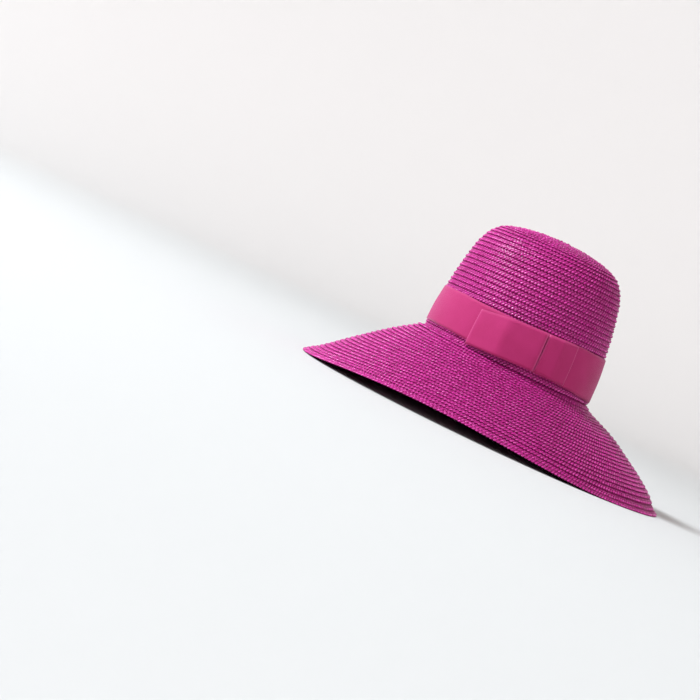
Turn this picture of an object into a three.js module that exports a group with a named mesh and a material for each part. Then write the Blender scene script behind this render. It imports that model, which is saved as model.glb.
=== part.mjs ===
// A wide-brimmed straw hat with a ribbon band and a flat bow, resting on the edge of its brim.
// Millimetres, +Z up, the front of the hat towards -Y and the wearer's right towards -X.
// The origin lies on the surface that the hat rests on, under the middle of the brim.

import * as THREE from 'three';
import { mergeVertices } from 'three/addons/utils/BufferGeometryUtils.js';

const { clamp, degToRad } = THREE.MathUtils;

// The head oval is the outside of the crown where it meets the brim. The head line is its
// height, and it dips towards the front.
const HEAD_HALF_LENGTH = 98.7;
const HEAD_HALF_WIDTH = 85;
const HEAD_LINE = 79.5;
const HEAD_LINE_DIP = 3;
const DIP_FADES_OVER = 40;

// The straw is two thicknesses of plait where the sewn rows overlap.
const STRAW_WALL = 2;
const SEAM_GAP = 0.3;
const ROUND_STEPS = 72;

// Half profile of the crown at the front and back: the height above the head line, and how
// far the wall lies outside (+) or inside (-) the head oval.
const CROWN_ROWS = [
  { rise: 0, out: 0 },
  { rise: 25, out: -0.9 },
  { rise: 50, out: -3.6 },
  { rise: 66, out: -5.6 },
  { rise: 82, out: -8.2 },
  { rise: 98, out: -11.5 },
  { rise: 111, out: -15 },
  { rise: 119, out: -18.6 },
  { rise: 126.5, out: -24 },
  { rise: 133, out: -31.5 },
  { rise: 137.4, out: -42 },
  { rise: 141, out: -56 },
  { rise: 143.8, out: -74 },
  { rise: 145.4, out: -HEAD_HALF_LENGTH },
];

// Half profile of the brim: how far out from the head oval it lies, its height above the
// resting surface, and how much higher the front is than that (the back is as much lower).
const BRIM_ROWS = [
  { out: 0, height: HEAD_LINE - SEAM_GAP, front: -HEAD_LINE_DIP },
  { out: 4.5, height: 76, front: -4.2 },
  { out: 12, height: 71.4, front: -3.8 },
  { out: 22, height: 66.2, front: -2.8 },
  { out: 38, height: 57, front: -0.8 },
  { out: 60, height: 42, front: 1 },
  { out: 82, height: 26, front: 2.6 },
  { out: 98, height: 13.2, front: 2.6 },
  { out: 108, height: 4.2, front: 0 },
  { out: 111, height: 1.4, front: 0 },
];
const EDGE_WIDTH = 3;
const REACH_FRONT = 115.5;
const REACH_SIDE = 115;
const REACH_BACK = 107;

// The edge rests at its front and its back, and lifts between them just behind each side.
const SIDE_LIFT = 12;
const LIFT_FROM = degToRad(38);
const LIFT_TO = degToRad(165);
const LIFT_FALLOFF = 1.5;

// The ribbon makes a band round the foot of the crown and a flat bow on the wearer's right.
// It bends with the crown at one height between its foot and its top.
const RIBBON_WALL = 1;
const RIBBON_GAP = 0.4;
const BAND_BEND = CROWN_ROWS[1].rise;

// How high the band's foot and top lie above the head line, at degrees from the front to
// either side. It was laid a little unevenly, and its foot is lowest at the front.
const BAND_EDGES = [
  { turn: 0, foot: 2.2, top: 48.4 },
  { turn: 25, foot: 3.4, top: 49.8 },
  { turn: 50, foot: 5.8, top: 50.2 },
  { turn: 70, foot: 5.6, top: 48.4 },
  { turn: 90, foot: 5, top: 47.6 },
  { turn: 115, foot: 5, top: 48.4 },
  { turn: 140, foot: 5.8, top: 49.3 },
  { turn: 180, foot: 5.6, top: 49.4 },
];

// Each loop of the bow: the degrees at which its front layer starts and ends, how far that
// stands off the band, and how high the loop's foot and top lie at its start and end.
const LOOP_STEPS = 14;
const FOLD_STEPS = 6;
const LONG_LOOP = { from: 72, to: 113.6, standoff: 5.4, foot: [6.4, 1], top: [47.2, 42.6] };
const SHORT_LOOP = { from: 48.2, to: 67.8, standoff: 3.8, foot: [6.8, 7.2], top: [48.8, 48] };

const STRAW = { color: 0xb83d85, roughness: 0.5, metalness: 0 };
const RIBBON = { color: 0xbd3f80, roughness: 0.7, metalness: 0 };

// A value read off a table of rows by straight lines between them.
function readRows(rows, from, to, at) {
  const next = rows.findIndex((row, i) => i > 0 && row[from] >= at);
  const high = rows[next < 0 ? rows.length - 1 : next];
  const low = rows[rows.indexOf(high) - 1];
  const share = clamp((at - low[from]) / (high[from] - low[from]), 0, 1);
  return low[to] + (high[to] - low[to]) * share;
}

function crownOut(rise) {
  return readRows(CROWN_ROWS, 'rise', 'out', rise);
}

// A point on or around the crown. Bearings run from the front, 0, to the wearer's right, a
// quarter turn. The oval keeps its shape as it narrows, and widens evenly.
function crownPoint(bearing, out, rise) {
  const narrowing = out < 0 ? HEAD_HALF_WIDTH / HEAD_HALF_LENGTH : 1;
  const dip = HEAD_LINE_DIP * clamp(1 - rise / DIP_FADES_OVER, 0, 1);
  return new THREE.Vector3(
    -Math.sin(bearing) * (HEAD_HALF_WIDTH + out * narrowing),
    -Math.cos(bearing) * (HEAD_HALF_LENGTH + out),
    HEAD_LINE + rise - dip * Math.cos(bearing),
  );
}

// How far the edge of the brim lifts off the surface at a bearing.
function sideLift(bearing) {
  const turn = Math.abs(Math.atan2(Math.sin(bearing), Math.cos(bearing)));
  const share = clamp((turn - LIFT_FROM) / (LIFT_TO - LIFT_FROM), 0, 1);
  return SIDE_LIFT * Math.sin(Math.PI * share) ** 2;
}

// The brim's reach at a bearing, from its reach at the front, the sides and the back.
function reach(bearing) {
  const front = Math.cos(bearing);
  const uneven = (REACH_FRONT + REACH_BACK) / 2 - REACH_SIDE;
  return REACH_SIDE + ((REACH_FRONT - REACH_BACK) / 2) * front + uneven * front * front;
}

// A point of the brim, from its place in the half profile.
function brimPoint(bearing, out, height) {
  const fullOut = BRIM_ROWS.at(-1).out;
  const spread = out * (reach(bearing) / fullOut);
  const higher = readRows(BRIM_ROWS, 'out', 'front', out) * Math.cos(bearing);
  const lift = sideLift(bearing) * Math.max(0, out / fullOut) ** LIFT_FALLOFF;
  return new THREE.Vector3(
    -Math.sin(bearing) * (HEAD_HALF_WIDTH + spread),
    -Math.cos(bearing) * (HEAD_HALF_LENGTH + spread),
    height + higher + lift,
  );
}

// A profile that climbs towards the crown, moved inwards by one wall of straw.
function insideOf(profile) {
  return profile.map((point, i) => {
    const before = profile[Math.max(0, i - 1)];
    const after = profile[Math.min(profile.length - 1, i + 1)];
    const along = after.clone().sub(before).setLength(STRAW_WALL);
    return new THREE.Vector2(point.x - along.y, point.y + along.x);
  });
}

// A closed solid from a half profile taken once round the hat. The profile closes on itself,
// or starts and ends on the axis of the crown.
function roundSolid(profile, pointAt, closesOnItself) {
  const positions = [];
  const faces = [];
  const count = profile.length;
  for (let i = 0; i < ROUND_STEPS; i += 1) {
    const bearing = (i / ROUND_STEPS) * 2 * Math.PI;
    profile.forEach((point) => positions.push(...pointAt(bearing, point.x, point.y)));
  }
  const strips = closesOnItself ? count : count - 1;
  for (let i = 0; i < ROUND_STEPS; i += 1) {
    const next = (i + 1) % ROUND_STEPS;
    for (let j = 0; j < strips; j += 1) {
      const up = (j + 1) % count;
      const [a, b, c, d] = [i * count + j, next * count + j, next * count + up, i * count + up];
      faces.push(a, b, c, a, c, d);
    }
  }
  return closedGeometry(positions, faces);
}

// The line that a ribbon loop follows over the band, as a bearing and a distance off the
// crown: along its back layer, round one fold, along its front layer and round the other.
function loopTrack(start, end, radius, seat, fold) {
  const track = [];
  const layer = (from, to, off) => {
    for (let i = 0; i <= LOOP_STEPS; i += 1) {
      track.push({ bearing: from + ((to - from) * i) / LOOP_STEPS, off });
    }
  };
  const turn = (bearing, side) => {
    for (let i = 1; i < FOLD_STEPS; i += 1) {
      const angle = (Math.PI * i) / FOLD_STEPS;
      track.push({
        bearing: bearing + (side * fold * Math.sin(angle)) / radius,
        off: seat + fold * (1 - side * Math.cos(angle)),
      });
    }
  };
  layer(start, end, seat);
  turn(end, 1);
  layer(end, start, seat + 2 * fold);
  turn(start, -1);
  return track;
}

// A ribbon loop: a flattened tube of ribbon, open at its top and foot.
function ribbonLoop({ from, to, standoff, foot, top }) {
  const [start, end] = [degToRad(from), degToRad(to)];
  const middle = (start + end) / 2;
  const radius = Math.hypot(Math.cos(middle) * HEAD_HALF_WIDTH, Math.sin(middle) * HEAD_HALF_LENGTH);
  const seat = 2 * RIBBON_GAP + 1.5 * RIBBON_WALL;
  const fold = (standoff - RIBBON_WALL) / 2;
  const track = loopTrack(start, end, radius, seat, fold);
  const positions = [];
  const faces = [];
  const count = track.length;
  track.forEach((point, i) => {
    const before = track[(i + count - 1) % count];
    const after = track[(i + 1) % count];
    const run = (after.bearing - before.bearing) * radius;
    const along = new THREE.Vector2(run, after.off - before.off).normalize();
    const share = clamp((point.bearing - start) / (end - start), 0, 1);
    const rises = [foot, top].map(([first, last]) => first + (last - first) * share);
    rises.splice(1, 0, BAND_BEND);
    const wall = (side, rise) => {
      const bearing = point.bearing + (along.y * side) / radius;
      return crownPoint(bearing, crownOut(rise) + point.off - along.x * side, rise);
    };
    rises.forEach((rise) => positions.push(...wall(-RIBBON_WALL / 2, rise)));
    rises.reverse().forEach((rise) => positions.push(...wall(RIBBON_WALL / 2, rise)));
  });
  const corners = positions.length / (3 * count);
  for (let i = 0; i < count; i += 1) {
    const [here, next] = [i * corners, ((i + 1) % count) * corners];
    for (let low = 0; low < corners; low += 1) {
      const high = (low + 1) % corners;
      faces.push(here + low, next + low, next + high, here + low, next + high, here + high);
    }
  }
  return closedGeometry(positions, faces);
}

// Points and faces as one closed geometry: corners shared, empty faces dropped, and all
// faces turned outwards.
function closedGeometry(positions, faces) {
  const loose = new THREE.BufferGeometry();
  loose.setAttribute('position', new THREE.Float32BufferAttribute(positions, 3));
  loose.setIndex(faces);
  const geometry = mergeVertices(loose, 1e-3);
  const spots = geometry.getAttribute('position');
  const index = geometry.getIndex().array;
  const corners = [new THREE.Vector3(), new THREE.Vector3(), new THREE.Vector3()];
  const kept = [];
  let volume = 0;
  for (let i = 0; i < index.length; i += 3) {
    const face = [index[i], index[i + 1], index[i + 2]];
    if (new Set(face).size === 3) {
      corners.forEach((corner, j) => corner.fromBufferAttribute(spots, face[j]));
      volume += corners[0].dot(corners[1].cross(corners[2])) / 6;
      kept.push(...face);
    }
  }
  geometry.setIndex(volume > 0 ? kept : kept.reverse());
  geometry.computeVertexNormals();
  return geometry;
}

// The crown is one wall of sewn plait, open at the head line.
function crown() {
  const outside = CROWN_ROWS.map((row) => new THREE.Vector2(row.out, row.rise));
  const inside = insideOf(outside);
  inside[0].set(-STRAW_WALL, 0);
  inside.at(-1).set(-HEAD_HALF_LENGTH, outside.at(-1).y - STRAW_WALL);
  return roundSolid([...outside.toReversed(), ...inside], crownPoint, false);
}

// The brim is one wall of sewn plait from its flat resting edge up to the head line.
function brim() {
  const outside = BRIM_ROWS.map((row) => new THREE.Vector2(row.out, row.height)).reverse();
  const inside = insideOf(outside).slice(1);
  inside.at(-1).set(-STRAW_WALL, outside.at(-1).y);
  const edge = [
    new THREE.Vector2(outside[0].x - EDGE_WIDTH, 0),
    new THREE.Vector2(outside[0].x, 0),
  ];
  return roundSolid([...inside.toReversed(), ...edge, ...outside], brimPoint, true);
}

// A point of the band, a distance off the crown, on its foot, its bend or its top.
function bandPoint(bearing, off, level) {
  const turn = Math.abs(Math.atan2(Math.sin(bearing), Math.cos(bearing))) * THREE.MathUtils.RAD2DEG;
  const [foot, top] = ['foot', 'top'].map((edge) => readRows(BAND_EDGES, 'turn', edge, turn));
  const rise = [foot, BAND_BEND, top][level];
  return crownPoint(bearing, crownOut(rise) + off, rise);
}

// The band is a flat ribbon round the foot of the crown.
function band() {
  const face = (off) => [0, 1, 2].map((level) => new THREE.Vector2(off, level));
  const outside = face(RIBBON_GAP + RIBBON_WALL);
  return roundSolid([...face(RIBBON_GAP), ...outside.reverse()], bandPoint, true);
}

function piece(name, geometry, finish) {
  const mesh = new THREE.Mesh(geometry, new THREE.MeshStandardMaterial(finish));
  mesh.name = name;
  return mesh;
}

const hat = new THREE.Group();
hat.add(piece('crown', crown(), STRAW));
hat.add(piece('brim', brim(), STRAW));
hat.add(piece('hat_band', band(), RIBBON));
hat.add(piece('bow_long_loop', ribbonLoop(LONG_LOOP), RIBBON));
hat.add(piece('bow_short_loop', ribbonLoop(SHORT_LOOP), RIBBON));

// The brim reaches further in front than behind, so its middle lies before the crown's.
hat.position.y = (REACH_FRONT - REACH_BACK) / 2;

export default hat;
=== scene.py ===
import math

import bpy
import numpy as np
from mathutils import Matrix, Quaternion, Vector


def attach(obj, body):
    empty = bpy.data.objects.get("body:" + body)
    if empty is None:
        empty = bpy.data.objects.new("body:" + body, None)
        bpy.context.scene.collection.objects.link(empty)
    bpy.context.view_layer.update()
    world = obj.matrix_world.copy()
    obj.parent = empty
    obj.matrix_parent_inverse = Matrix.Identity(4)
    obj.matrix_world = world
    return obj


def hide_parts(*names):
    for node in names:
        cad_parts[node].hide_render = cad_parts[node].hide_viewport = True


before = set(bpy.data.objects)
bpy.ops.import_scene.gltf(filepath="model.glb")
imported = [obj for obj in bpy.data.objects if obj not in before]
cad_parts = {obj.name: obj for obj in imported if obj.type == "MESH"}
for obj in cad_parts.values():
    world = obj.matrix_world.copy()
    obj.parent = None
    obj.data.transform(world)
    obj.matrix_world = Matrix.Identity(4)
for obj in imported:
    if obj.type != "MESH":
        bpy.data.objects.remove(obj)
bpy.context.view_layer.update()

bl_info = {
    "name": "Straw hat",
    "version": (1, 0, 0),
    "blender": (4, 5, 0),
    "location": "3D View > Sidebar > Straw hat",
    "description": "Sews a wide-brimmed straw hat with a ribbon band and a flat bow",
    "category": "Add Mesh",
}

MM = 0.001

# The head oval is the outside of the crown where it meets the brim, in millimetres. The
# crown's axis stands behind the origin, because the brim reaches further in front.
HEAD_HALF_LENGTH = 98.7
HEAD_HALF_WIDTH = 85
HEAD_LINE = 79.5
CROWN_AXIS_Y = 4.25

# The hat's outer half profile from the middle of the top down to the edge, in millimetres:
# how far out from the head oval, how high, and how much higher the front is than that.
HAT_PROFILE = [
    # out, height, front
    (-98.7, 224.9, 0),
    (-74, 223.3, 0),
    (-56, 220.5, 0),
    (-42, 216.9, 0),
    (-31.5, 212.5, 0),
    (-24, 206, 0),
    (-18.6, 198.5, 0),
    (-15, 190.5, 0),
    (-11.5, 177.5, 0),
    (-8.2, 161.5, 0),
    (-5.6, 145.5, 0),
    (-3.6, 129.5, 0),
    (-0.9, 104.5, -1.1),
    (-0.2, 84.5, -2.6),
    (0, 79.5, -3),
    (4.5, 76, -4.2),
    (12, 71.4, -3.8),
    (22, 66.2, -2.8),
    (38, 57, -0.8),
    (60, 42, 1),
    (82, 26, 2.6),
    (98, 13.2, 2.6),
    (108, 4.2, 0),
    (111, 1.4, 0),
]
BRIM_OUT = HAT_PROFILE[-1][0]

# How far the brim reaches, how high its sides lift and between which bearings, and how fast
# that lift fades inwards. The plait lies in the middle of a wall of straw of this thickness.
REACH_FRONT, REACH_SIDE, REACH_BACK = 115.5, 115, 107
SIDE_LIFT, LIFT_FALLOFF = 12, 1.5
LIFT_FROM, LIFT_TO = math.radians(38), math.radians(165)
STRAW_WALL = 2

# The plait starts as a short straight strip, so the first turns are long ovals. Its first
# turn is narrower, stands higher and lies further in, so that it covers the middle.
START_TURN = 0.03
START_STRIP = 9
START_EVENS_OUT = 8 / 9
START_NARROWS = 0.3
START_RISE = 0.9
START_INWARD = 1.2

# How far in from the edge the winding ends, and where the closed edge row lies over its end.
WINDING_END_IN = 4.2
EDGE_ROW_IN = 2.5
EDGE_ROW_RISE = 0.6

# The cross-section of one length of plait, in millimetres, once round from its hidden upper
# edge. It shows two lines of beads, where strands cross: a far one beside the row above, and
# a near one along the free edge, half a strand further on. The strands lean away from the
# line between them, CHEVRON_AT. bead says how much a point swells with its strand, wave how
# much it follows the scalloped edge, and far which line it is in. The table is drawn for a
# plait of the width and thickness given here.
SECTION_WIDTH = 8
SECTION_THICKNESS = 0.84
CHEVRON_AT = 1.0
PLAIT_SECTION = [
    # across, height, bead, wave, far
    (-4.0, 0.2, 0, 0, 1),
    (-2.4, 0.3, 0, 0, 1),
    (-1.1, -0.28, 0.2, 0, 1),
    (0.1, -0.1, 0.85, 0, 1),
    (1.1, -0.2, 0.4, 0, 0),
    (2.3, -0.15, 1, 0, 0),
    (3.4, -0.2, 0.85, 0.5, 0),
    (4.0, -0.35, 0.3, 1, 0),
    (3.3, -0.5, 0, 0.5, 0),
    (-1.5, -0.55, 0, 0, 0),
    (-3.8, 0.0, 0, 0, 1),
]
# Four points to a strand: how far along it each lies, and how far it swells there.
STRAND_POINTS = [
    # along, swell
    (0.0, 0.0),
    (0.24, 0.62),
    (0.5, 1.0),
    (0.76, 0.62),
]

# Where one piece of the straw ends and the next begins: in turns of the plait on the crown,
# where the last one ends at the head line, and in shares of the way out on the brim.
CROWN_TURNS = [
    # piece, from, to
    ("straw_crown_top", START_TURN, 17),
    ("straw_crown_side", 17, 28),
    ("straw_crown_foot", 28, None),
]
BRIM_SHARES = [
    # piece, from, to
    ("straw_brim_inner", 0, 0.42),
    ("straw_brim_middle", 0.42, 0.74),
    ("straw_brim_outer", 0.74, 1),
]

# What the plait's tree needs on the way and the finished straw doesn't.
STEPPING_STONES = {"across", "height", "lean", "bead", "wave", "far", "slim"}

# How high the band's foot and top lie above the head line, in millimetres, at degrees from
# the front to either side. It was laid a little unevenly, and its foot is lowest in front.
# BAND_OFF is how far its middle layer stands off the crown.
BAND_EDGES = [
    # turn, foot, top
    (0, 2.2, 48.4),
    (25, 3.4, 49.8),
    (50, 5.8, 50.2),
    (70, 5.6, 48.4),
    (90, 5.0, 47.6),
    (115, 5.0, 48.4),
    (140, 5.8, 49.3),
    (180, 5.6, 49.4),
]
BAND_OFF = 1.0
RIBBON_ROWS = 14

# In front the crown's foot dips below the head line, and ribbon follows less the higher it is.
FOOT_DIP = 3
DIP_ENDS = 40

# How the bow is laid: round a crown of this radius, nearly flat from crease to crease, with
# creases softened over a share of the way except near the ends, and a painted highlight line
# this many millimetres wide along each fold.
CROWN_RADIUS = 92
PRESSED_FLAT = 0.75
CREASE_SOFTNESS = 0.04
SOFT_FROM_END = 0.1
FOLD_HIGHLIGHT_WIDTH = 0.7

# The loops of the bow: the degrees between which each one lies, how far its back and front
# layers stand off the crown at shares of the way between them, the rise of its foot and top
# at such shares, how far the foot of its front layer flares out, and the degrees by which its
# second end leans. The long loop's far end hangs a little lower than the band.
LONG_LOOP = {
    "from": 70.9,
    "to": 114.4,
    "back": [(0, 3.9), (0.14, 2.5), (0.3, 1.95), (1, 1.95)],
    "front": [(0, 5.1), (0.03, 5.7), (0.54, 7.0), (0.97, 3.6), (1, 3.0)],
    "foot": [(0, 6.4), (1, 0.9)],
    "top": [(0, 48.3), (0.3, 47.6), (0.6, 46.0), (1, 42.3)],
    "flare": 0.8,
    "askew": 0,
}
SHORT_LOOP = {
    "from": 47.8,
    "to": 69.2,
    "back": [(0, 1.95), (0.8, 1.95), (1, 2.1)],
    "front": [(0, 3.0), (0.04, 3.4), (0.53, 5.3), (0.95, 4.3), (1, 3.5)],
    "foot": [(0, 6.8), (1, 7.2)],
    "top": [(0, 49.4), (1, 48.2)],
    "flare": 0.6,
    "askew": 0.6,
}

# The camera stands level with the brim on the wearer's right and is held at a slant.
CAMERA_PLACE = (-1.91094, -0.12978, 0.1086)
CAMERA_HEADING = math.radians(8.803)
CAMERA_DIP = math.radians(2.633)
CAMERA_ROLL = math.radians(25.08)
CAMERA_LENS = 90.04

# The soft round lights: where each one hangs, how wide it is, and its tint.
SOFT_LIGHTS = {
    "main_light": ((-1.05, 2.85, 3.25), 1.1, (0.88, 0.95, 1.0)),
    "second_light": ((-2.2, -1.9, 3.2), 2.0, (0.97, 0.98, 1.0)),
}
LIGHTS_AIM = (0, 0, 0.12)
SKY_TINT = (1.0, 0.93, 0.86)


# Node trees written as expressions.


class Field:
    """A value that varies over a piece. Sums on it add Math or Vector Math nodes."""

    def __init__(self, recipe, socket):
        self.recipe, self.socket = recipe, socket

    @property
    def is_vector(self):
        return self.socket.type in {"VECTOR", "RGBA"}

    def _joined(self, operation, *terms):
        vector = any(isinstance(term, Field) and term.is_vector for term in terms)
        kind = "ShaderNodeVectorMath" if vector else "ShaderNodeMath"
        return self.recipe.node(kind, {"operation": operation}, dict(enumerate(terms)))[0]

    def __add__(self, other):
        return self._joined("ADD", self, other)

    def __radd__(self, other):
        return self._joined("ADD", other, self)

    def __sub__(self, other):
        return self._joined("SUBTRACT", self, other)

    def __rsub__(self, other):
        return self._joined("SUBTRACT", other, self)

    def __mul__(self, other):
        if self.is_vector and not isinstance(other, tuple):
            settings = {"operation": "SCALE"}
            return self.recipe.node("ShaderNodeVectorMath", settings, {0: self, "Scale": other})[0]
        return self._joined("MULTIPLY", self, other)

    def __rmul__(self, other):
        return self * other


class Made:
    """A new node, whose outputs are read as fields by name or number."""

    def __init__(self, recipe, node):
        self.recipe, self.node = recipe, node

    def __getitem__(self, key):
        return Field(self.recipe, shown_socket(self.node.outputs, key))


def shown_socket(sockets, key):
    shown = [socket for socket in sockets if socket.enabled]
    if isinstance(key, int):
        return shown[key]
    return next(socket for socket in shown if socket.name == key)


class Recipe:
    """A node tree under construction."""

    def __init__(self, tree):
        self.tree = tree

    def node(self, kind, settings=None, sockets=None):
        node = self.tree.nodes.new(kind)
        for name, value in (settings or {}).items():
            setattr(node, name, value)
        for key, value in (sockets or {}).items():
            socket = shown_socket(node.inputs, key)
            if isinstance(value, Field):
                self.tree.links.new(value.socket, socket)
            else:
                socket.default_value = value
        return Made(self, node)

    def attribute(self, name, output="Fac"):
        return self.node("ShaderNodeAttribute", {"attribute_name": name})[output]

    def named(self, name, data_type="FLOAT"):
        settings = {"data_type": data_type}
        return self.node("GeometryNodeInputNamedAttribute", settings, {"Name": name})["Attribute"]

    def noise(self, vector, scale, detail, roughness=0.5):
        inputs = {"Vector": vector, "Scale": scale, "Detail": detail, "Roughness": roughness}
        return self.node("ShaderNodeTexNoise", {}, inputs)[0]

    def blend(self, share, first, second):
        settings = {"data_type": "RGBA", "clamp_factor": True}
        inputs = {"Factor": share, "A": first, "B": second}
        return self.node("ShaderNodeMix", settings, inputs)["Result"]

    def limited(self, value, low, high, to_low=0.0, to_high=1.0):
        """A smooth step of a value from low to high."""
        inputs = {"Value": value, "From Min": low, "From Max": high}
        inputs |= {"To Min": to_low, "To Max": to_high}
        settings = {"interpolation_type": "SMOOTHSTEP"}
        return self.node("ShaderNodeMapRange", settings, inputs)["Result"]

    def joined(self, x, y, z=0.0):
        return self.node("ShaderNodeCombineXYZ", {}, {"X": x, "Y": y, "Z": z})["Vector"]

    def bump(self, height, strength, distance, over=None):
        inputs = {"Height": height, "Strength": strength, "Distance": distance}
        if over is not None:
            inputs["Normal"] = over
        return self.node("ShaderNodeBump", {}, inputs)["Normal"]


def colour(rgb):
    return (*rgb, 1.0)


def finish_material(name):
    """A new material with its recipe and its main shader, ready for values."""
    material = bpy.data.materials.new(name)
    material.use_nodes = True
    recipe = Recipe(material.node_tree)
    shader = next(n for n in material.node_tree.nodes if n.type == "BSDF_PRINCIPLED")
    return material, recipe, shader


def set_shader(recipe, shader, **values):
    for name, value in values.items():
        socket = shader.inputs[name.replace("_", " ")]
        if isinstance(value, Field):
            recipe.tree.links.new(value.socket, socket)
        else:
            socket.default_value = value


# The form of the hat.


def smooth_profile(rows, steps=16):
    """The profile as a dense smooth line, with the distance along it as its last column."""
    rows = np.array(rows, float)
    before = rows[1] * (-1, 1, 1) + (2 * rows[0, 0], 0, 0)
    after = 2 * rows[-1] - rows[-2]
    rows = np.vstack([before, rows, after])
    gap = np.linalg.norm(np.diff(rows[:, :2], axis=0), axis=1)
    slope = np.diff(rows, axis=0) / gap[:, None]
    lead, trail = gap[:-1, None], gap[1:, None]
    tangent = (slope[:-1] * trail + slope[1:] * lead) / (lead + trail)
    line = []
    for i in range(1, len(rows) - 2):
        t = np.linspace(0, 1, steps, endpoint=False)[:, None]
        start, end, run = rows[i], rows[i + 1], gap[i]
        leave, arrive = tangent[i - 1] * run, tangent[i] * run
        line.append(
            start * (2 * t**3 - 3 * t**2 + 1)
            + leave * (t**3 - 2 * t**2 + t)
            + end * (3 * t**2 - 2 * t**3)
            + arrive * (t**3 - t**2)
        )
    line = np.vstack([*line, rows[-2:-1]])
    walked = np.concatenate([[0], np.cumsum(np.linalg.norm(np.diff(line[:, :2], axis=0), axis=1))])
    return np.column_stack([line, walked])


PROFILE_LINE = smooth_profile(HAT_PROFILE)
PROFILE_LENGTH = PROFILE_LINE[-1, 3]
HEAD_LINE_WALKED = float(np.interp(0, PROFILE_LINE[:, 0], PROFILE_LINE[:, 3]))


def side_lift(bearing):
    turn = np.abs(np.arctan2(np.sin(bearing), np.cos(bearing)))
    share = np.clip((turn - LIFT_FROM) / (LIFT_TO - LIFT_FROM), 0, 1)
    return SIDE_LIFT * np.sin(np.pi * share) ** 2


def reach(bearing):
    front = np.cos(bearing)
    uneven = (REACH_FRONT + REACH_BACK) / 2 - REACH_SIDE
    return REACH_SIDE + (REACH_FRONT - REACH_BACK) / 2 * front + uneven * front**2


def oval_point(bearing, out, height):
    """A point over the head oval. Bearings run from the front to the wearer's right."""
    inward, outward = np.minimum(out, 0), np.maximum(out, 0)
    middle = HEAD_HALF_LENGTH + inward
    half_length = np.maximum(middle, START_STRIP + middle * START_EVENS_OUT)
    half_width = middle * HEAD_HALF_WIDTH / HEAD_HALF_LENGTH
    x = -np.sin(bearing) * (half_width + outward)
    y = -np.cos(bearing) * (half_length + outward) + CROWN_AXIS_Y
    return np.stack([x, y, height + 0 * x], axis=-1)


def hat_surface(bearing, walked):
    """The point on the outside of the straw at a distance from the top along the profile."""
    *columns, distance = PROFILE_LINE.T
    out, height, front = (np.interp(walked, distance, column) for column in columns)
    lift = side_lift(bearing) * (np.maximum(out, 0) / BRIM_OUT) ** LIFT_FALLOFF
    raised = height + front * np.cos(bearing) + lift
    spread = np.where(out > 0, out * reach(bearing) / BRIM_OUT, out)
    return oval_point(bearing, spread, raised)


def unit(vectors):
    return vectors / np.maximum(np.linalg.norm(vectors, axis=-1, keepdims=True), 1e-12)


def plait_route(turns, walked, strand, closed=False, rise=0.0):
    """Places four points a strand along a winding, each with its own directions.

    turns and walked are dense rows that say where the middle of the plait runs.
    """
    bearing = turns * 2 * np.pi
    ahead = hat_surface(bearing, walked + 0.2)
    behind = hat_surface(bearing, walked - 0.2)
    dense = (ahead + behind) / 2
    along = unit(np.gradient(dense, axis=0))
    if closed:
        along[0] = along[-1] = unit(dense[1] - dense[-2])
    outward = unit(np.cross(along, ahead - behind))
    down = np.cross(outward, along)
    run = np.concatenate([[0], np.cumsum(np.linalg.norm(np.diff(dense, axis=0), axis=1))])
    strands = max(1, round(run[-1] / strand))
    points = np.array(STRAND_POINTS)
    at = ((np.arange(strands)[:, None] + points[:, 0]) * run[-1] / strands).ravel()
    if not closed:
        at = np.append(at, run[-1])
    half = len(points) // 2
    swell = np.resize(points[:, 1], len(at))
    far_swell = np.resize(np.roll(points[:, 1], half), len(at))

    def read(rows):
        return np.stack([np.interp(at, run, rows[:, i]) for i in range(3)], axis=1)

    outward = unit(read(outward))
    return {
        "turn": np.interp(at, run, turns),
        "spot": read(dense) + outward * (rise - STRAW_WALL / 2),
        "down": unit(read(down)),
        "outward": outward,
        "along": unit(read(along)),
        "swell": swell,
        "strand": np.arange(len(at)) // len(points),
        "far_swell": far_swell,
        "far_strand": (np.arange(len(at)) + half) // len(points) % (strands if closed else len(at)),
        "run": at,
        "closed": closed,
    }


def part_of_route(route, start, end):
    """The stretch of a route between two turns, cut at whole strands."""
    per_strand = len(STRAND_POINTS)
    first = int(np.searchsorted(route["turn"], start)) // per_strand * per_strand
    last = len(route["turn"]) - 1
    if end < route["turn"][-1]:
        last = int(np.searchsorted(route["turn"], end)) // per_strand * per_strand
    return {k: v[first : last + 1] if isinstance(v, np.ndarray) else v for k, v in route.items()}


# Making meshes.


def new_object(name, points, edges=(), faces=(), **columns):
    """A mesh object from points in millimetres, with a point attribute for each column."""
    mesh = bpy.data.meshes.new(name)
    mesh.from_pydata((np.asarray(points) * MM).tolist(), edges, faces)
    for column, values in columns.items():
        values = np.asarray(values, float)
        kind = "FLOAT_VECTOR" if values.ndim == 2 else "FLOAT"
        layer = mesh.attributes.new(column, kind, "POINT")
        layer.data.foreach_set("vector" if values.ndim == 2 else "value", values.ravel())
    mesh.update()
    piece = bpy.data.objects.new(name, mesh)
    bpy.context.scene.collection.objects.link(piece)
    return piece


def enclosed_volume(mesh):
    mesh.calc_loop_triangles()
    points = np.zeros(len(mesh.vertices) * 3, np.float32)
    corners = np.zeros(len(mesh.loop_triangles) * 3, np.int32)
    mesh.vertices.foreach_get("co", points)
    mesh.loop_triangles.foreach_get("vertices", corners)
    a, b, c = np.moveaxis(points.reshape(-1, 3)[corners.reshape(-1, 3)].astype(float), 1, 0)
    return float((a * np.cross(b, c)).sum() / 6)


def keep_piece(piece, node):
    """Turns a finished piece's faces outwards, and puts it in the place of the plain one."""
    volume = enclosed_volume(piece.data)
    if volume == 0:
        raise RuntimeError(f"{piece.name} holds nothing")
    if volume < 0:
        piece.data.flip_normals()
    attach(piece, "root")
    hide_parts(node)


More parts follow.
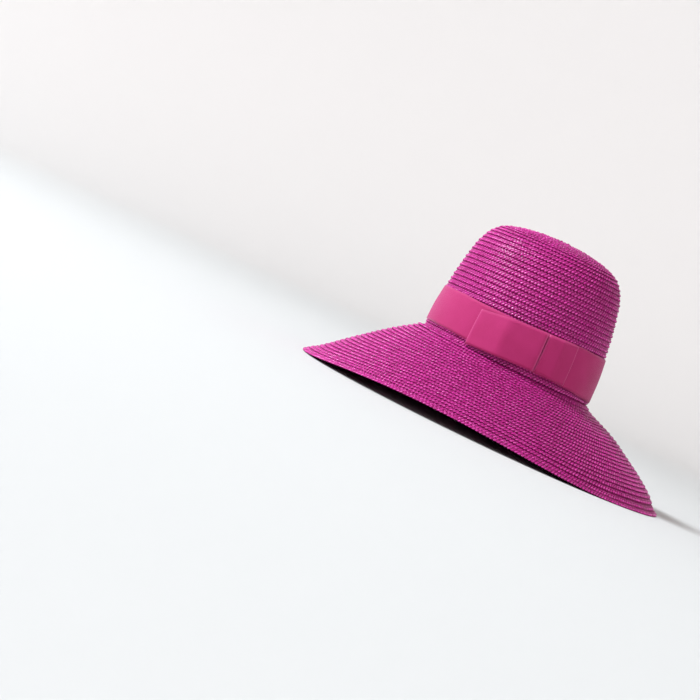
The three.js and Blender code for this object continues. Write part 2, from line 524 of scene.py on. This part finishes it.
def section_object(straw):
    """The plait's cross-section as a closed line with its named columns."""
    rows = np.array(PLAIT_SECTION)
    across = rows[:, 0] * straw.plait_width / MM / SECTION_WIDTH
    height = rows[:, 1] * straw.plait_thickness / MM / SECTION_THICKNESS
    count = len(rows)
    return new_object(
        "plait_section",
        np.column_stack([across, height, 0 * height]),
        edges=[(i, (i + 1) % count) for i in range(count)],
        across=across * MM,
        height=height * MM,
        lean=np.abs(across - CHEVRON_AT) * MM * straw.strand_slant,
        bead=rows[:, 2],
        wave=rows[:, 3],
        far=rows[:, 4],
    )


def plait_tree():
    """Geometry nodes that work a route into one length of sewn straw plait."""
    tree = bpy.data.node_groups.new("Sewn straw plait", "GeometryNodeTree")
    inputs = [
        ("Route", "NodeSocketGeometry"),
        ("Cross section", "NodeSocketObject"),
        ("Straw", "NodeSocketMaterial"),
        ("Row tilt", "NodeSocketFloat"),
        ("Bead relief", "NodeSocketFloat"),
        ("Edge wave", "NodeSocketFloat"),
        ("Looseness", "NodeSocketFloat"),
        ("Seed", "NodeSocketInt"),
    ]
    for name, kind in inputs:
        tree.interface.new_socket(name=name, in_out="INPUT", socket_type=kind)
    tree.interface.new_socket(name="Plait", in_out="OUTPUT", socket_type="NodeSocketGeometry")
    recipe = Recipe(tree)
    given = recipe.node("NodeGroupInput")

    def chance(low, high, code, seed):
        sockets = {"Min": low, "Max": high, "ID": code, "Seed": seed}
        return recipe.node("FunctionNodeRandomValue", {"data_type": "FLOAT"}, sockets)["Value"]

    route = recipe.node("GeometryNodeMeshToCurve", {}, {"Mesh": given["Route"]})["Curve"]
    section = recipe.node("GeometryNodeObjectInfo", {}, {"Object": given["Cross section"]})
    outline = recipe.node("GeometryNodeMeshToCurve", {}, {"Mesh": section["Geometry"]})["Curve"]
    sockets = {"Curve": route, "Profile Curve": outline, "Fill Caps": True}
    plait = recipe.node("GeometryNodeCurveToMesh", {}, sockets)["Mesh"]

    spot, down, outward, along = (
        recipe.named(name, "FLOAT_VECTOR") for name in ("spot", "down", "outward", "along")
    )
    across, height, lean, bead, wave, far = (
        recipe.named(name) for name in ("across", "height", "lean", "bead", "wave", "far")
    )
    run, slim = recipe.named("run"), recipe.named("slim")

    def by_line(near_name, far_name):
        near, beyond = recipe.named(near_name), recipe.named(far_name)
        return near + (beyond - near) * far

    swell = by_line("swell", "far_swell")
    code = by_line("strand", "far_strand") * 2.0 + far
    fullness = 1.0 + given["Looseness"] * chance(-0.5, 0.5, code, given["Seed"])
    swollen = bead * swell
    sunk = given["Row tilt"] * across * (1 / (SECTION_WIDTH / 2 * MM))
    raised = height + sunk + given["Bead relief"] * swollen * fullness
    scallop = wave * given["Edge wave"] * (swell - 0.5) * fullness
    placed = spot + down * (across * slim + scallop) + outward * raised + along * (lean * slim)
    sockets = {"Geometry": plait, "Position": placed}
    plait = recipe.node("GeometryNodeSetPosition", {}, sockets)["Geometry"]
    plait = recipe.node("GeometryNodeSetShadeSmooth", {}, {"Geometry": plait})["Geometry"]

    fibre = recipe.joined(run, across, code * 0.01)
    for name, kind, value in (
        ("tone", "FLOAT", chance(0.0, 1.0, code, given["Seed"] + 2.0)),
        ("hollow", "FLOAT", 1.0 - swollen),
        ("fibre", "FLOAT_VECTOR", fibre),
    ):
        sockets = {"Geometry": plait, "Name": name, "Value": value}
        settings = {"data_type": kind, "domain": "POINT"}
        plait = recipe.node("GeometryNodeStoreNamedAttribute", settings, sockets)["Geometry"]
    plait = recipe.node("GeometryNodeRealizeInstances", {}, {"Geometry": plait})["Geometry"]
    sockets = {"Geometry": plait, "Material": given["Straw"]}
    plait = recipe.node("GeometryNodeSetMaterial", {}, sockets)["Geometry"]
    recipe.node("NodeGroupOutput", {}, {"Plait": plait})
    return tree


def sew_plait(name, node, route, straw, tree, section, material, seed):
    """One piece of straw: a route, worked into plait and kept as a plain mesh."""
    count = len(route["run"])
    edges = [(i, i + 1) for i in range(count - 1)] + ([(count - 1, 0)] if route["closed"] else [])
    piece = new_object(
        name,
        route["spot"],
        edges=edges,
        spot=route["spot"] * MM,
        down=route["down"],
        outward=route["outward"],
        along=route["along"],
        swell=route["swell"],
        strand=route["strand"],
        far_swell=route["far_swell"],
        far_strand=route["far_strand"],
        run=route["run"] * MM,
        slim=route["slim"],
    )
    modifier = piece.modifiers.new("Sewn straw plait", "NODES")
    modifier.node_group = tree
    values = {
        "Cross section": section,
        "Straw": material,
        "Row tilt": straw.row_tilt,
        "Bead relief": straw.bead_relief,
        "Edge wave": straw.edge_wave,
        "Looseness": straw.looseness,
        "Seed": seed,
    }
    for item in tree.interface.items_tree:
        if item.name in values:
            modifier[item.identifier] = values[item.name]
    piece.update_tag()
    worked = piece.evaluated_get(bpy.context.evaluated_depsgraph_get())
    mesh = bpy.data.meshes.new_from_object(worked)
    for layer in {*route, *STEPPING_STONES} & {a.name for a in mesh.attributes}:
        mesh.attributes.remove(mesh.attributes[layer])
    piece.modifiers.clear()
    piece.data = mesh
    mesh.name = name
    keep_piece(piece, node)
    return piece


def straw_winding(straw):
    """The one continuous winding of the plait, from the middle of the top to the edge."""
    pitch = straw.row_pitch / MM
    last = PROFILE_LENGTH - WINDING_END_IN
    turns = np.linspace(START_TURN, last / pitch, int(last / pitch * 360))
    walked = turns * pitch
    route = plait_route(turns, walked, straw.strand_length / MM)
    fresh = np.clip(route["turn"], 0, 1)
    moved = route["outward"] * START_RISE - route["down"] * START_INWARD
    route["spot"] = route["spot"] + moved * (1 - fresh)[:, None]
    route["slim"] = 1 - START_NARROWS * (1 - fresh)
    return route


# How fine the straw's fibres and glints are along the plait, across it and between strands.
FIBRES_PER_METRE = (2600.0, 260.0, 60.0)
GLINTS_PER_METRE = (620.0, 520.0, 300.0)
HOLLOW_ROUGHNESS = 0.85


def straw_material(straw):
    """Glossy dyed straw, with a tone for each strand, fine fibres, painted glints on the beads and
    painted shade in the hollows.
    """
    material, recipe, shader = finish_material("Glossy dyed straw plait")
    tone, hollow = recipe.attribute("tone"), recipe.attribute("hollow")
    fibre = recipe.attribute("fibre", "Vector")
    place = recipe.node("ShaderNodeTexCoord")["Object"]
    fibres = recipe.limited(recipe.noise(fibre * FIBRES_PER_METRE, 1.0, 3.0, 0.6), 0.3, 0.7)
    blotch = recipe.noise(place, 22.0, 3.0)
    shade = recipe.limited(tone * 0.3 + fibres * 0.45 + blotch * 0.2, 0.05, 0.9)
    dyed = recipe.blend(shade, colour(straw.deep_dye), colour(straw.light_dye))
    sparkle = recipe.limited(recipe.noise(fibre * GLINTS_PER_METRE, 1.0, 1.0), 0.44, 0.64)
    # Painted highlights: light spots of glint colour on the bead tops, where the fine noise is
    # high.
    painted_glint = recipe.limited(1.0 - hollow, 0.3, 1.0) * sparkle * 0.7
    dyed = recipe.blend(painted_glint, dyed, colour(straw.painted_glint_colour))
    # Painted shade: the hollows between strands, where shade falls, are blended towards a dark
    # colour.
    shadowed = recipe.limited(hollow, 0.35, 0.95) * 0.88
    dyed = recipe.blend(shadowed, dyed, colour(straw.painted_hollow_shade))
    gloss = recipe.limited(fibres * 0.6 + tone * 0.8, 0.3, 1.2, straw.gloss_from, straw.gloss_to)
    gloss = gloss + (HOLLOW_ROUGHNESS - gloss) * shadowed
    coat = (1.0 - shadowed) * (sparkle * 0.6 + 0.2)
    twist = recipe.bump(recipe.noise(place, 620.0, 1.0), 0.8, 0.0012)
    bump = recipe.bump(fibres, 0.6, 0.0002, twist)
    set_shader(recipe, shader, Base_Color=dyed, Roughness=gloss, Normal=bump, Coat_Weight=coat)
    set_shader(recipe, shader, Coat_Roughness=0.18, Specular_IOR_Level=0.5)
    set_shader(recipe, shader, Specular_Tint=colour(straw.glint), Coat_Tint=colour(straw.glint))
    return material


# The ribbon.


def crown_out(rise):
    """How far outside the head oval the crown's wall lies at a height above the head line."""
    wall = PROFILE_LINE[PROFILE_LINE[:, 3] <= HEAD_LINE_WALKED][::-1]
    return np.interp(HEAD_LINE + rise, wall[:, 1], wall[:, 0])


def over_crown(bearing, off, rise):
    """A point that stands off the crown's wall. Ribbon keeps clear of the dip at its foot."""
    out = crown_out(np.maximum(rise, 0)) + off
    dip = -FOOT_DIP * np.clip(1 - rise / DIP_ENDS, 0, 1) * np.cos(bearing)
    inward = np.where(out < 0, HEAD_HALF_WIDTH / HEAD_HALF_LENGTH, 1)
    x = -np.sin(bearing) * (HEAD_HALF_WIDTH + out * inward)
    y = -np.cos(bearing) * (HEAD_HALF_LENGTH + out) + CROWN_AXIS_Y
    return np.stack([x, y, HEAD_LINE + rise + dip], axis=-1)


def ribbon_ring(name, node, middle, ribbon, material, run, folded=None):
    """A ribbon whose ends meet, from the grid of its middle layer: round it, then up it."""
    count, rows = middle.shape[:2]
    around = np.roll(middle, -1, axis=0) - np.roll(middle, 1, axis=0)
    up = np.gradient(middle, axis=1)
    outward = unit(np.cross(around, up))
    half = ribbon.thickness / MM / 2
    front = middle + outward * half
    back = middle - outward * half
    loop = np.concatenate([front, back[:, ::-1]], axis=1)
    size = 2 * rows
    faces = []
    for i in range(count):
        here, there = i * size, (i + 1) % count * size
        for j in range(size):
            k = (j + 1) % size
            faces.append((here + j, there + j, there + k, here + k))
    rise = np.linspace(0, 1, rows)
    columns = {
        "run": np.repeat(run * MM, size),
        "rise": np.tile(np.concatenate([rise, rise[::-1]]), count),
        "folded": np.repeat(np.zeros(count) if folded is None else folded, size),
    }
    piece = new_object(name, loop.reshape(-1, 3), faces=faces, **columns)
    rim = np.isin(np.arange(len(faces)) % size, (rows - 1, size - 1))
    piece.data.polygons.foreach_set("use_smooth", ~rim)
    piece.data.materials.append(material)
    keep_piece(piece, node)
    flat = np.linalg.norm(np.diff(np.vstack([middle, middle[:1]]), axis=0), axis=2).sum(0).mean()
    tall = np.linalg.norm(np.diff(middle, axis=1), axis=2).sum(1).mean()
    return piece, (round(float(tall) * MM, 4), round(float(flat) * MM, 4))


def track_run(track):
    """How far along the ribbon each point of a track lies."""
    gaps = np.linalg.norm(np.diff(track, axis=0), axis=1)
    return np.concatenate([[0], np.cumsum(gaps)])


def ripple(bearing, rise, size, seed):
    """A soft unevenness of laid ribbon, in millimetres: a few waves of random length."""
    draw = np.random.default_rng(seed)
    waves = 7
    total = 0 * bearing
    for _ in range(waves):
        turns, leans, phase = draw.integers(5, 26), draw.uniform(-0.06, 0.06), draw.uniform(0, 6.28)
        total = total + np.sin(bearing * turns + rise * leans + phase) / waves
    return total * size


def band_edges(bearing):
    """The rise of the band's foot and top at each bearing: smooth lines near its table."""
    turns, *edges = np.array(BAND_EDGES).T
    order = np.arange(5)
    known = np.cos(np.outer(np.radians(turns), order))
    waves = np.linalg.lstsq(known, np.transpose(edges), rcond=None)[0]
    return np.moveaxis(np.cos(bearing[..., None] * order) @ waves, -1, 0)


def lay_ribbon_band(ribbon, material):
    bearing = np.linspace(0, 2 * np.pi, 300, endpoint=False)[:, None]
    up = np.linspace(0, 1, RIBBON_ROWS)[None, :]
    foot, top = band_edges(bearing)
    rise = foot + (top - foot) * up + ripple(bearing, 0 * up, 0.3, 9)
    off = BAND_OFF + ripple(bearing, rise, 0.5, 5) * (2 * up - 1) ** 2
    middle = over_crown(bearing, off, rise)
    run = track_run(middle[:, RIBBON_ROWS // 2])
    piece, flat = ribbon_ring("ribbon_band", "hat_band", middle, ribbon, material, run)
    return piece


def layer_off(knots, span, share):
    """How far a layer of ribbon stands off, pressed nearly flat from one crease to the next."""
    ends, heights = np.array(knots, float).T
    share = np.clip(share, 0, 1)
    stretch = np.clip(np.searchsorted(ends, share, side="right") - 1, 0, len(ends) - 2)
    start, end = ends[stretch], ends[stretch + 1]
    along = (share - start) / (end - start)
    sag = CROWN_RADIUS * (1 - np.cos(span * (end - start) / 2)) * PRESSED_FLAT
    return np.interp(share, ends, heights) - sag * 4 * along * (1 - along)


def fold_loop(name, node, loop, ribbon, material):
    """A loop of the bow: a back layer on the band, two folds, and a front layer over them."""
    start, end = math.radians(loop["from"]), math.radians(loop["to"])
    share = np.linspace(0, 1, 60)
    bend = np.linspace(0, np.pi, 10)[1:-1]

    def layer(which, share):
        slips = np.linspace(-CREASE_SOFTNESS, CREASE_SOFTNESS, 9)
        near = [layer_off(loop[which], end - start, share + slip) for slip in slips]
        soft = np.clip(np.minimum(share, 1 - share) / SOFT_FROM_END, 0, 1)
        return np.mean(near, axis=0) * soft + near[4] * (1 - soft)

    def fold(at, side):
        back, front = layer("back", np.array([at])), layer("front", np.array([at]))
        radius = (front - back) / 2
        swing = start + (end - start) * at + side * radius * np.sin(bend) / CROWN_RADIUS
        return swing, back + radius * (1 - np.cos(bend)), at + 0 * bend

    flat_turn = start + (end - start) * share
    far_fold, near_fold = fold(1.0, 1), fold(0.0, -1)
    bearing = np.concatenate([flat_turn, far_fold[0], flat_turn[::-1], near_fold[0][::-1]])[:, None]
    back_layer, front_layer = layer("back", share), layer("front", share[::-1])
    off = np.concatenate([back_layer, far_fold[1], front_layer, near_fold[1][::-1]])
    place = np.concatenate([share, far_fold[2], share[::-1], near_fold[2]])[:, None]
    front = np.concatenate([0 * share, 0.5 + 0 * bend, 1 + 0 * share, 0.5 + 0 * bend])[:, None]
    up = np.linspace(0, 1, RIBBON_ROWS)[None, :]
    foot, top = (np.interp(place, *np.transpose(loop[edge])) for edge in ("foot", "top"))
    rise = foot + (top - foot) * up
    bearing = bearing + math.radians(loop["askew"]) * (0.5 - up) * place
    flare = front * loop["flare"] * (1 - up) ** 2 * np.sin(np.pi * place) ** 0.5
    uneven = ripple(bearing, rise, 0.25, 3) * front
    middle = over_crown(bearing, off[:, None] + flare + uneven, rise)
    run = track_run(middle[:, RIBBON_ROWS // 2])
    # Painted highlight: a lighter line along each fold, strongest at the fold itself.
    from_fold = np.minimum(place, 1 - place).ravel() * (end - start) * CROWN_RADIUS
    folded = np.clip(1 - from_fold / FOLD_HIGHLIGHT_WIDTH, 0, 1)
    piece, flat = ribbon_ring(name, node, middle, ribbon, material, run, folded)
    return piece


def ribbon_material(ribbon):
    """Matt ribbed ribbon, with fine ribs across it, a firmer woven edge and a painted highlight
    along its folds.
    """
    material, recipe, shader = finish_material("Matt ribbed ribbon")
    run, rise, folded = (recipe.attribute(name) for name in ("run", "rise", "folded"))
    place = recipe.node("ShaderNodeTexCoord")["Object"]
    rib_turn = run * (2 * math.pi / ribbon.rib_pitch)
    ribs = recipe.node("ShaderNodeMath", {"operation": "SINE"}, {0: rib_turn})[0] * 0.5 + 0.5
    yarn = recipe.noise(recipe.joined(run * 900.0, rise * 90.0), 1.0, 3.0, 0.6)
    cloud = recipe.noise(place, 40.0, 4.0, 0.65)
    woven_edge = recipe.limited(rise, 0.985, 0.965) * recipe.limited(rise, 0.015, 0.035)
    shade = recipe.limited(yarn * 0.6 + ribs * 0.25 + cloud * 0.5, 0.25, 1.1)
    dyed = recipe.blend(shade, colour(ribbon.deep_dye), colour(ribbon.light_dye))
    # Painted highlight along the folds; the lighter woven edge is the ribbon's own colour.
    dyed = recipe.blend((1.0 - woven_edge) * 0.12 + folded * 0.5, dyed, colour(ribbon.edge_and_fold_highlight))
    rough = recipe.limited(yarn, 0.2, 0.8, 0.62, 0.8)
    bump = recipe.bump(ribs * 0.7 + yarn * 0.5, 0.4, 0.00018)
    set_shader(recipe, shader, Base_Color=dyed, Roughness=rough, Normal=bump)
    set_shader(recipe, shader, Sheen_Weight=0.36, Sheen_Roughness=0.45, Specular_IOR_Level=0.22)
    set_shader(recipe, shader, Sheen_Tint=colour(ribbon.bloom))
    return material


# The studio.


def pale_floor(studio):
    """One seamless sheet: a flat floor that curves up into a round wall."""
    flat, bend, wall_top, turns = 2600, 1500, 5200, 96
    angle = np.linspace(0, np.pi / 2, 16)
    radii = [400, 900, 1600, *(flat + bend * np.sin(angle)), flat + bend]
    heights = [0, 0, 0, *(bend * (1 - np.cos(angle))), wall_top]
    bearing = np.linspace(0, 2 * np.pi, turns, endpoint=False)
    rings = [
        np.column_stack([r * np.cos(bearing), r * np.sin(bearing), 0 * bearing + h])
        for r, h in zip(radii, heights)
    ]
    points = np.vstack([[[0, 0, 0]], *rings])
    faces = [(0, 1 + i, 1 + (i + 1) % turns) for i in range(turns)]
    for ring in range(len(radii) - 1):
        low, high = 1 + ring * turns, 1 + (ring + 1) * turns
        for i in range(turns):
            j = (i + 1) % turns
            faces.append((low + i, high + i, high + j, low + j))
    floor = new_object("studio_floor", points, faces=faces)
    floor.data.shade_smooth()
    material, recipe, shader = finish_material("Pale studio paper")
    place = recipe.node("ShaderNodeTexCoord")["Object"]
    away = recipe.node("ShaderNodeVectorMath", {"operation": "LENGTH"}, {0: place})["Value"]
    near_wall = recipe.limited(away, 1.2, 4.0)
    paper = recipe.blend(near_wall, colour(studio.floor_colour), colour(studio.wall_colour))
    set_shader(recipe, shader, Base_Color=paper, Roughness=0.9, Specular_IOR_Level=0.1)
    floor.data.materials.append(material)
    return floor


def soft_light(name, power):
    place, size, tint = SOFT_LIGHTS[name]
    lamp = bpy.data.lights.new(name, "AREA")
    lamp.shape, lamp.size, lamp.energy, lamp.color = "DISK", size, power, tint
    holder = bpy.data.objects.new(name, lamp)
    bpy.context.scene.collection.objects.link(holder)
    holder.location = place
    holder.rotation_mode = "QUATERNION"
    holder.rotation_quaternion = (Vector(LIGHTS_AIM) - Vector(place)).to_track_quat("-Z", "Y")
    holder.visible_camera = False
    return holder


def set_camera():
    lens = bpy.data.cameras.new("camera")
    lens.lens, lens.sensor_width = CAMERA_LENS, 36
    lens.clip_start, lens.clip_end = 0.05, 20
    camera = bpy.data.objects.new("camera", lens)
    bpy.context.scene.collection.objects.link(camera)
    camera.location = CAMERA_PLACE
    look = Vector((math.cos(CAMERA_HEADING), math.sin(CAMERA_HEADING), -math.tan(CAMERA_DIP)))
    camera.rotation_mode = "QUATERNION"
    camera.rotation_quaternion = look.to_track_quat("-Z", "Y") @ Quaternion((0, 0, 1), CAMERA_ROLL)
    bpy.context.scene.camera = camera


# Properties, operators and the panel.


def length(name, text, default):
    return bpy.props.FloatProperty(name=name, description=text, default=default, unit="LENGTH")


def fraction(name, text, default):
    return bpy.props.FloatProperty(name=name, description=text, default=default, subtype="FACTOR")


def power(name, text, default):
    return bpy.props.FloatProperty(name=name, description=text, default=default, unit="POWER")


def dye(name, text, default):
    return bpy.props.FloatVectorProperty(
        name=name, description=text, default=default, subtype="COLOR"
    )


class StrawSettings(bpy.types.PropertyGroup):
    row_pitch: length("Row pitch", "From one sewn row to the next", 0.0057)
    plait_width: length("Plait width", "Width of the plait, part of it hidden", 0.008)
    plait_thickness: length("Plait thickness", "Thickness of the plait", 0.00084)
    strand_length: length("Strand pitch", "From one strand to the next along a row", 0.0039)
    strand_slant: bpy.props.FloatProperty(
        name="Strand slant", description="How far strands lean along the row", default=0.62
    )
    row_tilt: length("Row tilt", "How far the free edge of a row stands out", 0.0005)
    bead_relief: length("Bead relief", "Height of each strand's swelling", 0.0013)
    edge_wave: length("Edge wave", "Depth of the scallops along a row's free edge", 0.0011)
    looseness: fraction("Looseness", "How uneven the strands are", 0.5)
    deep_dye: dye("Deep dye", "Darkest strands", (0.31, 0.004, 0.122))
    light_dye: dye("Light dye", "Lightest strands", (0.66, 0.022, 0.345))
    # Painted highlight: the light colour of the glints on the bead tops.
    painted_glint_colour: dye("Painted glint", "Painted highlights on the bead tops", (0.98, 0.30, 0.76))
    # Painted shade: the dark colour blended into the hollows between strands.
    painted_hollow_shade: dye("Painted hollow shade", "Painted shade between the strands", (0.18, 0.001, 0.065))
    glint: dye("Glint", "Tint of the light on glossy straw", (1.0, 0.4, 0.82))
    gloss_from: fraction("Glossiest", "Roughness of the glossiest straw", 0.16)
    gloss_to: fraction("Dullest", "Roughness of the dullest straw", 0.5)
    seed: bpy.props.IntProperty(
        name="Seed", description="Which unevenness the strands get", default=7
    )


class RibbonSettings(bpy.types.PropertyGroup):
    thickness: length("Thickness", "Thickness of the ribbon", 0.0005)
    rib_pitch: length("Rib pitch", "From one rib to the next", 0.0009)
    deep_dye: dye("Deep dye", "Darker yarn", (0.34, 0.011, 0.092))
    light_dye: dye("Light dye", "Lighter yarn", (0.46, 0.024, 0.155))
    # Colour of the woven edge, and of the painted highlight along the folds.
    edge_and_fold_highlight: dye("Edge and fold highlight", "The woven edge, and the painted highlight along folds", (0.60, 0.09, 0.27))
    bloom: dye("Bloom", "Tint of the soft light on the yarn's nap", (1.0, 0.6, 0.85))


class StudioSettings(bpy.types.PropertyGroup):
    floor_colour: dye("Floor colour", "Colour of the floor near the hat", (0.612, 0.607, 0.60))
    wall_colour: dye("Wall colour", "Colour of the wall", (0.826, 0.79, 0.775))
    key_power: power("Main light", "Power of the large light", 255)
    fill_power: power("Second light", "Power of the light opposite", 13)
    daylight: bpy.props.FloatProperty(
        name="Daylight", description="Strength of the even light all round", default=0.25
    )


class HatSettings(bpy.types.PropertyGroup):
    straw: bpy.props.PointerProperty(
        type=StrawSettings, name="Straw", description="Sizes and dyes of the plait"
    )
    ribbon: bpy.props.PointerProperty(
        type=RibbonSettings, name="Ribbon", description="Size and dyes of the ribbon"
    )
    studio: bpy.props.PointerProperty(
        type=StudioSettings, name="Studio", description="Floor and lights"
    )


SHARED = {}


def shared(name, make):
    """A material, tree or section that several operators use, made on first need."""
    if name not in SHARED:
        SHARED[name] = make()
    return SHARED[name]


def straw_kit(straw):
    return (
        straw,
        shared("tree", plait_tree),
        shared("section", lambda: section_object(straw)),
        shared("straw", lambda: straw_material(straw)),
    )


class HAT_OT_sew_crown(bpy.types.Operator):
    """Sews the crown: the first rows of the plait, wound from the middle of the top"""

    bl_idname = "straw_hat.sew_crown"
    bl_label = "Sew the crown"

    def execute(self, context):
        straw = context.scene.straw_hat.straw
        route = shared("winding", lambda: straw_winding(straw))
        foot = HEAD_LINE_WALKED / (straw.row_pitch / MM)
        for number, (name, start, end) in enumerate(CROWN_TURNS):
            stretch = part_of_route(route, start, foot if end is None else end)
            sew_plait(name, "crown", stretch, *straw_kit(straw), straw.seed + 10 * number)
        return {"FINISHED"}


class HAT_OT_sew_brim(bpy.types.Operator):
    """Sews the brim: the rest of the plait, and one closed row over its end as the edge"""

    bl_idname = "straw_hat.sew_brim"
    bl_label = "Sew the brim"

    def execute(self, context):
        straw = context.scene.straw_hat.straw
        route = shared("winding", lambda: straw_winding(straw))
        first = HEAD_LINE_WALKED / (straw.row_pitch / MM)
        turns = route["turn"][-1] - first
        for number, (name, start, end) in enumerate(BRIM_SHARES):
            stretch = part_of_route(route, first + turns * start, first + turns * end)
            sew_plait(name, "brim", stretch, *straw_kit(straw), straw.seed + 10 * number + 5)
        around = np.linspace(0, 1, 1441)
        edge_at = np.full(len(around), PROFILE_LENGTH - EDGE_ROW_IN)
        strand = straw.strand_length / MM
        edge = plait_route(around, edge_at, strand, closed=True, rise=EDGE_ROW_RISE)
        edge["slim"] = np.ones(len(edge["run"]))
        sew_plait("straw_brim_edge", "brim", edge, *straw_kit(straw), straw.seed + 90)
        bpy.data.objects.remove(SHARED.pop("section"))
        return {"FINISHED"}


class HAT_OT_lay_band(bpy.types.Operator):
    """Lays the ribbon band round the foot of the crown"""

    bl_idname = "straw_hat.lay_band"
    bl_label = "Lay the band"

    def execute(self, context):
        ribbon = context.scene.straw_hat.ribbon
        lay_ribbon_band(ribbon, shared("ribbon", lambda: ribbon_material(ribbon)))
        return {"FINISHED"}


class HAT_OT_fold_bow(bpy.types.Operator):
    """Folds the flat bow of two ribbon loops over the band"""

    bl_idname = "straw_hat.fold_bow"
    bl_label = "Fold the bow"

    def execute(self, context):
        ribbon = context.scene.straw_hat.ribbon
        material = shared("ribbon", lambda: ribbon_material(ribbon))
        fold_loop("ribbon_long_loop", "bow_long_loop", LONG_LOOP, ribbon, material)
        fold_loop("ribbon_short_loop", "bow_short_loop", SHORT_LOOP, ribbon, material)
        return {"FINISHED"}


class HAT_OT_set_stage(bpy.types.Operator):
    """Sets the pale floor, the soft lights and the camera"""

    bl_idname = "straw_hat.set_stage"
    bl_label = "Set the stage"

    def execute(self, context):
        studio = context.scene.straw_hat.studio
        pale_floor(studio)
        soft_light("main_light", studio.key_power)
        soft_light("second_light", studio.fill_power)
        world = bpy.data.worlds.new("Even daylight")
        world.use_nodes = True
        sky = next(n for n in world.node_tree.nodes if n.type == "BACKGROUND")
        sky.inputs["Color"].default_value = colour(SKY_TINT)
        sky.inputs["Strength"].default_value = studio.daylight
        context.scene.world = world
        context.scene.view_settings.view_transform = "Standard"
        set_camera()
        return {"FINISHED"}


STEPS = [HAT_OT_sew_crown, HAT_OT_sew_brim, HAT_OT_lay_band, HAT_OT_fold_bow, HAT_OT_set_stage]


class HAT_PT_straw_hat(bpy.types.Panel):
    """Lists the steps in the order in which the hat is made"""

    bl_idname = "HAT_PT_straw_hat"
    bl_label = "Straw hat"
    bl_space_type = "VIEW_3D"
    bl_region_type = "UI"
    bl_category = "Straw hat"

    def draw(self, context):
        for group in ("straw", "ribbon", "studio"):
            box = self.layout.box()
            settings = getattr(context.scene.straw_hat, group)
            for name in settings.__annotations__:
                box.prop(settings, name)
        for step in STEPS:
            self.layout.operator(step.bl_idname)


CLASSES = [StrawSettings, RibbonSettings, StudioSettings, HatSettings, *STEPS, HAT_PT_straw_hat]


def register():
    for each in CLASSES:
        bpy.utils.register_class(each)
    bpy.types.Scene.straw_hat = bpy.props.PointerProperty(type=HatSettings)


def unregister():
    del bpy.types.Scene.straw_hat
    for each in reversed(CLASSES):
        bpy.utils.unregister_class(each)


def main():
    register()
    for step in STEPS:
        group, name = step.bl_idname.split(".")
        getattr(getattr(bpy.ops, group), name)()


if __name__ == "__main__":
    main()
